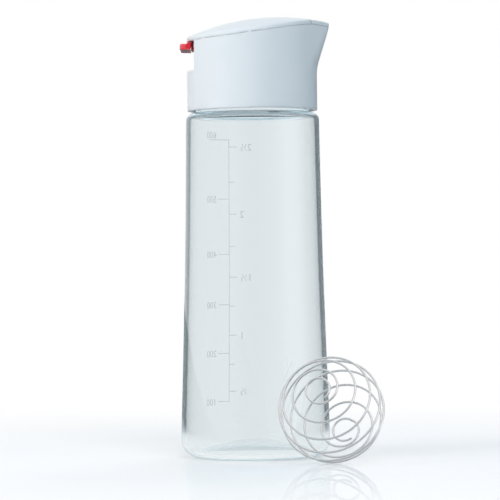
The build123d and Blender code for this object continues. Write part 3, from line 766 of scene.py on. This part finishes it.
# %% The scale's places on the wall
PRINT_LIFT, PRINT_THICK = 0.01, 0.05
LINE_ANGLE = math.radians(112.5)
LINE_RANGE = (26.5, 166.2)
MARK_WIDTH = 0.35
ML_REACH, TOP_ML_REACH = 7.0, 13.3
CUP_REACH, PLAIN_REACH = 4.7, 3.2
ACROSS_STEPS, LINE_STEPS = 6, 40
ml_marks = [
    (165.8, "600"), (134.4, "500"), (105.1, "400"), (78.3, "300"), (52.5, "200"), (26.9, "100"),
]
cup_marks = [
    (162.1, "2\u00bd"), (143.4, ""), (126.4, "2"), (109.4, ""), (92.9, "1\u00bd"), (77.5, ""),
    (62.0, "1"), (46.6, ""), (32.2, "\u00bd"),
]
wall_rings = sorted((z, r) for r, z in outer_wall)


def wall_radius(z):
    """The bottle's outer radius at a height, between the rings of its profile."""
    for (z0, r0), (z1, r1) in zip(wall_rings, wall_rings[1:]):
        if z0 <= z <= z1:
            return r0 + (r1 - r0) * (z - z0) / (z1 - z0)
    return wall_rings[0][1]


def on_wall(along, z, lift):
    """A place on the back of the wall, with along measured round it from the scale's line."""
    r = wall_radius(z)
    angle = LINE_ANGLE + along / r
    return (r + lift) * math.cos(angle), (r + lift) * math.sin(angle), z


def strip(bm, along_range, z_range):
    """One thin strip of print between two places round the wall and two heights."""
    wide, tall = along_range[1] - along_range[0], z_range[1] - z_range[0]
    columns, rows = (ACROSS_STEPS, 1) if wide > tall else (1, LINE_STEPS)
    made = bmesh.ops.create_grid(bm, x_segments=columns, y_segments=rows, size=0.5)["verts"]
    spots = [(along_range[0] + (v.co.x + 0.5) * wide, z_range[0] + (v.co.y + 0.5) * tall) for v in made]
    for vert, (along, z) in zip(made, spots):
        vert.co = Vector(on_wall(along, z, PRINT_LIFT)) * MM
    faces = list({f for v in made for f in v.link_faces})
    grown = bmesh.ops.extrude_face_region(bm, geom=faces, use_keep_orig=True)["geom"]
    raised = [g for g in grown if isinstance(g, bmesh.types.BMVert)]
    for vert in raised:
        out = Vector((vert.co.x, vert.co.y, 0)).normalized()
        vert.co += out * PRINT_THICK * MM


# %% Line and marks
bm = bmesh.new()
half = MARK_WIDTH / 2
strip(bm, (-half, half), LINE_RANGE)
for z, label in ml_marks:
    strip(bm, (half, TOP_ML_REACH if label == "600" else ML_REACH), (z - half, z + half))
for z, label in cup_marks:
    strip(bm, (-(CUP_REACH if label else PLAIN_REACH), -half), (z - half, z + half))
bmesh.ops.recalc_face_normals(bm, faces=bm.faces)
scale_marks = piece_from(bm, "scale_marks")

# %% Numbers
SIZE_PER_HEIGHT, LETTER_ROUNDNESS = 1.37, 4
ML_HEIGHT, ML_PLACE, TOP_ML_LIFT = 3.6, 8.0, 2.6
CUP_HEIGHT, CUP_PLACE = 3.8, -6.2


def number_mesh(text, height, along, z, align):
    """A number as a thin mesh that follows the wall, upright and read from outside."""
    font = bpy.data.curves.new("number_" + text, "FONT")
    font.body = text
    font.size = height * SIZE_PER_HEIGHT
    font.align_x = align
    font.extrude = PRINT_THICK / 2
    font.resolution_u = LETTER_ROUNDNESS
    holder = bpy.data.objects.new("number", font)
    bpy.context.scene.collection.objects.link(holder)
    mesh = finished_mesh(holder, "number")
    bpy.data.objects.remove(holder)
    for vert in mesh.vertices:
        x, y, depth = vert.co
        lift = PRINT_LIFT + PRINT_THICK / 2 + depth
        vert.co = Vector(on_wall(along + x, z - height / 2 + y, lift)) * MM
    return mesh


bm = bmesh.new()
for z, label in ml_marks:
    lift = TOP_ML_LIFT if label == "600" else 0
    bm.from_mesh(number_mesh(label, ML_HEIGHT, ML_PLACE, z + lift, "LEFT"))
for z, label in cup_marks:
    if label:
        bm.from_mesh(number_mesh(label, CUP_HEIGHT, CUP_PLACE, z, "RIGHT"))
weld(bm)
scale_numbers = piece_from(bm, "scale_numbers")
for piece in (scale_marks, scale_numbers):
    piece.data.materials.append(print_grey)
    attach(piece, "bottle")

# %% [markdown]
# The other pieces keep their CAD meshes. They sit inside the lid and show through its openings, so
# each gets its own material.

# %% Materials on the CAD nodes
node_materials = {
    "lid_core": white_plastic,
    "pour_duct": white_plastic,
    "thumb_lever": red_plastic,
    "push_fork": grey_plastic,
    "lid_seal_ring": soft_white,
    "vent_valve": soft_white,
    "flap_pad": soft_white,
    "lever_pin": steel,
    "flap_pin": steel,
}
for node, material in node_materials.items():
    slots = frame["nodes"][node].data.materials
    slots.clear()
    slots.append(material)
print("CAD nodes with a material:", len(node_materials))

# %% [markdown]
# The photograph is taken from far away with a long lens, level with the lower half of the bottle. The
# camera turns by a little over half a degree about its own line of sight, as the real one did.

# %% Camera
EYE_HEIGHT, EYE_DISTANCE, EYE_SIDE = 104.6, 1412, -2.0
LENS_PIXELS, FRAME_PIXELS, SENSOR = 2716, 500, 36
AIM_UP = math.radians(0.105)
ROLL = math.radians(-0.6)

camera_data = bpy.data.cameras.new("camera")
camera_data.sensor_width = SENSOR
camera_data.lens = SENSOR * LENS_PIXELS / FRAME_PIXELS
camera_data.clip_start = 0.05
camera_data.clip_end = 50
camera = bpy.data.objects.new("camera", camera_data)
bpy.context.scene.collection.objects.link(camera)
camera.matrix_world = (
    Matrix.Translation((EYE_SIDE * MM, -EYE_DISTANCE * MM, EYE_HEIGHT * MM))
    @ Matrix.Rotation(math.pi / 2 + AIM_UP, 4, "X")
    @ Matrix.Rotation(ROLL, 4, "Z")
)
bpy.context.scene.camera = camera
print(f"camera: {camera_data.lens:.0f} mm lens, {EYE_DISTANCE} mm away")

# %% [markdown]
# The studio is a white page: a pale floor, glossy as glass, in a white room. On pure white, clear
# plastic has no outline, so a photographer leaves the room dark beside and behind the camera. What the
# bottle, the lid and the wire mirror comes from that dark room, and so does light that bounced once
# inside the bottle's wall. The light path tells them from light that goes straight to the page. Only
# the floor is perfectly smooth, so a ray from a perfectly smooth surface is the floor's own.

# %% Which light finds the page
PAGE_WHITE = (1.0, 1.0, 1.0, 1)
DARK_ROOM = (0.12, 0.14, 0.15, 1)
DARK_FLOOR = (0.12, 0.135, 0.145, 1)


def calculate(tree, operation, first, second, clamp=False):
    """A math node whose first two inputs are numbers or sockets. A third input stays at a half."""
    node = tree.nodes.new("ShaderNodeMath")
    node.operation = operation
    node.use_clamp = clamp
    for socket, value in zip(node.inputs, (first, second)):
        if isinstance(value, bpy.types.NodeSocket):
            tree.links.new(value, socket)
        else:
            socket.default_value = value
    return node.outputs[0]


def light_shares(tree):
    """Masks for light that finds the page, that a part mirrors, and that ran along inside a wall."""
    path = tree.nodes.new("ShaderNodeLightPath").outputs
    reflected = calculate(tree, "MULTIPLY", path["Is Glossy Ray"], path["Is Reflection Ray"])
    from_floor = calculate(tree, "MULTIPLY", reflected, path["Is Singular Ray"])
    mirrored = calculate(tree, "SUBTRACT", reflected, from_floor)
    bounced = calculate(tree, "COMPARE", path["Glossy Depth"], 1.0)
    one_wall = calculate(tree, "LESS_THAN", path["Transmission Depth"], 2.5)
    bounced_once = calculate(tree, "MULTIPLY", bounced, one_wall)
    along = calculate(tree, "MULTIPLY", bounced_once, path["Is Transmission Ray"])
    through = calculate(tree, "SUBTRACT", path["Is Transmission Ray"], along)
    seen = calculate(tree, "ADD", path["Is Camera Ray"], from_floor)
    return calculate(tree, "ADD", seen, through, True), mirrored, along, path["Is Transmission Ray"]


# %% [markdown]
# Near the object the floor is a real pale surface that takes shadows and a weak mirror image. Farther
# off it turns into the white page, or into the dark of the room where a part mirrors it.

# %% Floor
FLOOR_SIZE, FLOOR_DROP = 6.0, 2e-5
FLOOR_IOR, FLOOR_SHEEN = 1.45, 0.5
FLOOR_GLOW = 0.28
NEAR_FLOOR, FAR_FLOOR = 0.15, 0.45


def surface_of(tree, kind, colour, **numbers):
    """A plain surface shader of one colour."""
    node = tree.nodes.new(kind)
    node.inputs["Color"].default_value = colour
    for name, value in numbers.items():
        node.inputs[name].default_value = value
    return node.outputs[0]


def mixed(tree, share, first, second):
    """One shader that turns into another by a share."""
    node = tree.nodes.new("ShaderNodeMixShader")
    for source, socket in zip((share, first, second), node.inputs):
        tree.links.new(source, socket)
    return node.outputs["Shader"]


def glowing(tree, colour):
    """A surface that shows as its colour, whatever the lamps do."""
    return surface_of(tree, "ShaderNodeEmission", colour, Strength=1.0)


# %% The floor's near part
floor_look = bpy.data.materials.new("studio_floor")
floor_look.use_nodes = True
tree = floor_look.node_tree
tree.nodes.clear()
output = tree.nodes.new("ShaderNodeOutputMaterial")
page, mirrored, along, passed = light_shares(tree)
glow = tree.nodes.new("ShaderNodeEmission")
tree.links.new(calculate(tree, "MULTIPLY", page, FLOOR_GLOW), glow.inputs["Strength"])
pale = tree.nodes.new("ShaderNodeAddShader")
tree.links.new(surface_of(tree, "ShaderNodeBsdfDiffuse", (0.80, 0.81, 0.82, 1)), pale.inputs[0])
tree.links.new(glow.outputs["Emission"], pale.inputs[1])
skin = tree.nodes.new("ShaderNodeFresnel")
skin.inputs["IOR"].default_value = FLOOR_IOR
sheen = calculate(tree, "MULTIPLY", skin.outputs["Fac"], FLOOR_SHEEN)
gloss = surface_of(tree, "ShaderNodeBsdfGlossy", PAGE_WHITE, Roughness=0.0)
surface = mixed(tree, sheen, pale.outputs["Shader"], gloss)
surface = mixed(tree, passed, surface, glowing(tree, PAGE_WHITE))

# %% The floor's far part
spot = tree.nodes.new("ShaderNodeTexCoord")
reach = tree.nodes.new("ShaderNodeVectorMath")
reach.operation = "LENGTH"
tree.links.new(spot.outputs["Object"], reach.inputs[0])
far = tree.nodes.new("ShaderNodeMapRange")
far.inputs["From Min"].default_value = NEAR_FLOOR
far.inputs["From Max"].default_value = FAR_FLOOR
tree.links.new(reach.outputs["Value"], far.inputs["Value"])
white_away = calculate(tree, "MULTIPLY", page, far.outputs["Result"])
surface = mixed(tree, white_away, surface, glowing(tree, PAGE_WHITE))
from_parts = calculate(tree, "ADD", mirrored, along, True)
dark_away = calculate(tree, "MULTIPLY", from_parts, far.outputs["Result"])
surface = mixed(tree, dark_away, surface, glowing(tree, DARK_FLOOR))
tree.links.new(surface, output.inputs["Surface"])
bm = bmesh.new()
bmesh.ops.create_grid(bm, x_segments=1, y_segments=1, size=FLOOR_SIZE)
floor = piece_from(bm, "studio_floor")
floor.data.materials.append(floor_look)
floor.location.z = cad_box[0][2] - FLOOR_DROP

# %% [markdown]
# What the parts mirror depends on where the mirrored ray goes. Counted round from the camera's side in
# shares of half a turn, positive to the right, the room is bright on the left, dark beside the camera,
# has one bright strip at the front right, and is dark again from there round to the page behind.

# %% Room
ROOM_FILL = (0.09, 0.16, 0.21, 1)
LOW_ROOM = 0.25
OVERHEAD_FROM, OVERHEAD_TO = 0.15, 0.5
BRIGHTEST = 2.0
room_turns = [
    (-1.0, 1.0), (-0.96, 1.0), (-0.93, 0.75), (-0.6, 0.9), (-0.35, 0.6), (-0.2, 0.7), (-0.03, 0.1),
    (0.05, 0.1), (0.2, 0.7), (0.33, 1.9), (0.45, 1.6), (0.56, 0.3), (0.68, 0.05), (0.93, 0.05),
    (0.96, 1.0), (1.0, 1.0),
]

world = bpy.data.worlds.new("studio")
bpy.context.scene.world = world
world.use_nodes = True
tree = world.node_tree
tree.nodes.clear()
output = tree.nodes.new("ShaderNodeOutputWorld")
page, mirrored, along, passed = light_shares(tree)
where = tree.nodes.new("ShaderNodeTexCoord")
split = tree.nodes.new("ShaderNodeSeparateXYZ")
tree.links.new(where.outputs["Generated"], split.inputs["Vector"])
x, y, z = split.outputs
around = calculate(tree, "ARCTAN2", x, calculate(tree, "MULTIPLY", y, -1.0))
bands = tree.nodes.new("ShaderNodeValToRGB")
ramp = bands.color_ramp.elements
for index, (turn, light) in enumerate(room_turns):
    position = (turn + 1) / 2
    step = ramp[index] if index < 2 else ramp.new(position)
    step.position = position
    step.color = (*[light / BRIGHTEST] * 3, 1)
tree.links.new(calculate(tree, "MULTIPLY_ADD", around, 0.5 / math.pi), bands.inputs["Fac"])
overhead = tree.nodes.new("ShaderNodeMapRange")
overhead.inputs["From Min"].default_value = OVERHEAD_FROM
overhead.inputs["From Max"].default_value = OVERHEAD_TO
tree.links.new(z, overhead.inputs["Value"])
level = calculate(tree, "MULTIPLY", bands.outputs["Color"], BRIGHTEST)
brightness = calculate(tree, "MAXIMUM", level, overhead.outputs["Result"])
room = tree.nodes.new("ShaderNodeBackground")
tree.links.new(brightness, room.inputs["Color"])
fill = surface_of(tree, "ShaderNodeBackground", ROOM_FILL)
surface = mixed(tree, page, fill, surface_of(tree, "ShaderNodeBackground", PAGE_WHITE))
surface = mixed(tree, mirrored, surface, room.outputs["Background"])
level_light = calculate(tree, "LESS_THAN", calculate(tree, "ABSOLUTE", z, 0.0), LOW_ROOM)
dark = surface_of(tree, "ShaderNodeBackground", DARK_ROOM)
surface = mixed(tree, calculate(tree, "MULTIPLY", along, level_light), surface, dark)
tree.links.new(surface, output.inputs["Surface"])
print("room: bands", len(ramp), "nodes", len(tree.nodes))

# %% [markdown]
# One large soft lamp stands far round on the left, so the white lid falls off to a cool grey towards
# the spout. One in front keeps the middle from going flat, a weak one above lights the crown, and one
# behind lights the back. No part mirrors or bends their light, because the room is what the parts show.

# %% Lamps


def soft_lamp(name, place, target, size, power, colour=(1, 1, 1)):
    """A square soft lamp that faces a place."""
    lamp = bpy.data.lights.new(name, "AREA")
    lamp.size = size
    lamp.energy = power
    lamp.color = colour
    holder = bpy.data.objects.new(name, lamp)
    bpy.context.scene.collection.objects.link(holder)
    holder.visible_glossy = False
    holder.visible_transmission = False
    aim = Vector(target) - Vector(place)
    holder.matrix_world = Matrix.Translation(place) @ aim.to_track_quat("-Z", "Y").to_matrix().to_4x4()
    print(f"{name}: {power} W at {aim.length:.2f} m")


soft_lamp("left_lamp", (-1.22, -0.57, 0.75), (0, 0, 0.12), 0.9, 12, (1.0, 0.92, 0.88))
soft_lamp("front_lamp", (0.3, -1.3, 1.2), (0, 0, 0.12), 0.8, 10, (0.93, 0.97, 1.0))
soft_lamp("top_lamp", (0.1, -0.2, 1.5), (0, 0, 0.1), 1.0, 3)
soft_lamp("back_lamp", (0.5, 1.3, 0.9), (0, 0, 0.12), 1.0, 8)
bpy.context.scene.view_settings.view_transform = "Standard"
